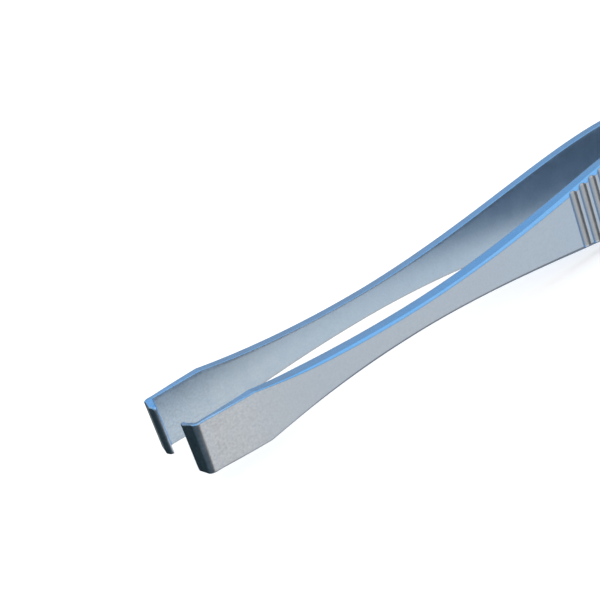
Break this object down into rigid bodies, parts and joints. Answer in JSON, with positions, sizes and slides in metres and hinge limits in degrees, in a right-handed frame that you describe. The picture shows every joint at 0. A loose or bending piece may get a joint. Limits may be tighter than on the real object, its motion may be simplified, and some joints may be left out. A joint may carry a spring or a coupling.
{
  "type": "component extraction tweezers",
  "caption": "Sprung steel tweezers with flat tip pads whose ends hook inwards, for gripping a component under its edges and lifting it out.",
  "frame": {"origin": "under the middle of the tool, on the surface that the lower edges of the grips rest on", "axes": "+X along the tool from the tips to the tail, +Y across the opening from the left arm to the right arm, +Z across the width of the arms, up from the resting surface"},
  "size_m": [0.15, 0.0144, 0.0115],
  "materials": {
    "satin_steel": "fine satin-blasted stainless steel"
  },
  "bodies": {
    "root": {"left_arm": "satin_steel", "right_arm": "satin_steel"}
  },
  "joints": []
}
